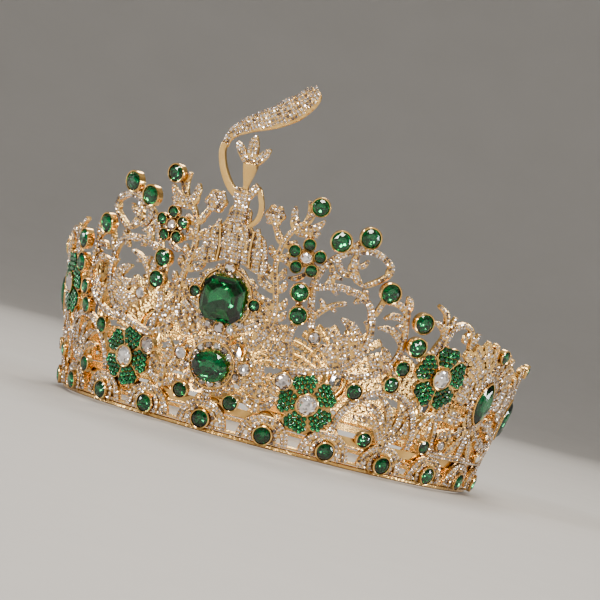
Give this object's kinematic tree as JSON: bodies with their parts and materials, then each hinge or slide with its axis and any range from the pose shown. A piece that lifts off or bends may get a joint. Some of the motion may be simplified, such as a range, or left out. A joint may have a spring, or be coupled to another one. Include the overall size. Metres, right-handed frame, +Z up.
{
  "type": "full round baroque crown",
  "caption": "Round gold filigree crown with a tall front of scrolls, leaves and green stone flowers, pointed side medallions and a small plume-bearing figure on top.",
  "frame": {"origin": "centre of the bottom ring, on the surface that it stands on", "axes": "+Z up through the crown, -Y to its front, +X to the viewer's right"},
  "size_m": [0.1738, 0.1868, 0.1151],
  "materials": {
    "polished_gold": "polished light champagne gold plate",
    "pave_gold": "cast light gold plate, its front set all over with small clear stones",
    "green_stone": "deep green cut glass with a foiled back",
    "petal_green": "green cut glass, small stones",
    "clear_stone": "clear cut glass with a foiled back"
  },
  "bodies": {
    "root": {"base_ring": "polished_gold", "inner_rail": "polished_gold", "arch_band": "pave_gold", "front_filigree": "pave_gold", "side_filigree": "pave_gold", "finial_figure": "polished_gold", "cushion_stone": "green_stone", "oval_stone": "green_stone", "arch_stones": "green_stone", "rim_stones": "green_stone", "top_stone_1": "green_stone", "top_stone_2": "green_stone", "top_stone_3": "green_stone", "top_stone_4": "green_stone", "top_stone_5": "green_stone", "top_stone_6": "green_stone", "top_stone_7": "green_stone", "top_stone_8": "green_stone", "top_stone_9": "green_stone", "top_stone_10": "green_stone", "top_stone_11": "green_stone", "top_stone_12": "green_stone", "top_stone_13": "green_stone", "top_stone_14": "green_stone", "top_stone_15": "green_stone", "top_stone_16": "green_stone", "medallion_stone_1": "green_stone", "medallion_stone_2": "green_stone", "medallion_stone_3": "green_stone", "medallion_stone_4": "green_stone", "medallion_stone_5": "green_stone", "medallion_stone_6": "green_stone", "medallion_stone_7": "green_stone", "medallion_stone_8": "green_stone", "medallion_stone_9": "green_stone", "petal_stones": "petal_green", "clear_stone_field": "clear_stone"}
  },
  "joints": []
}
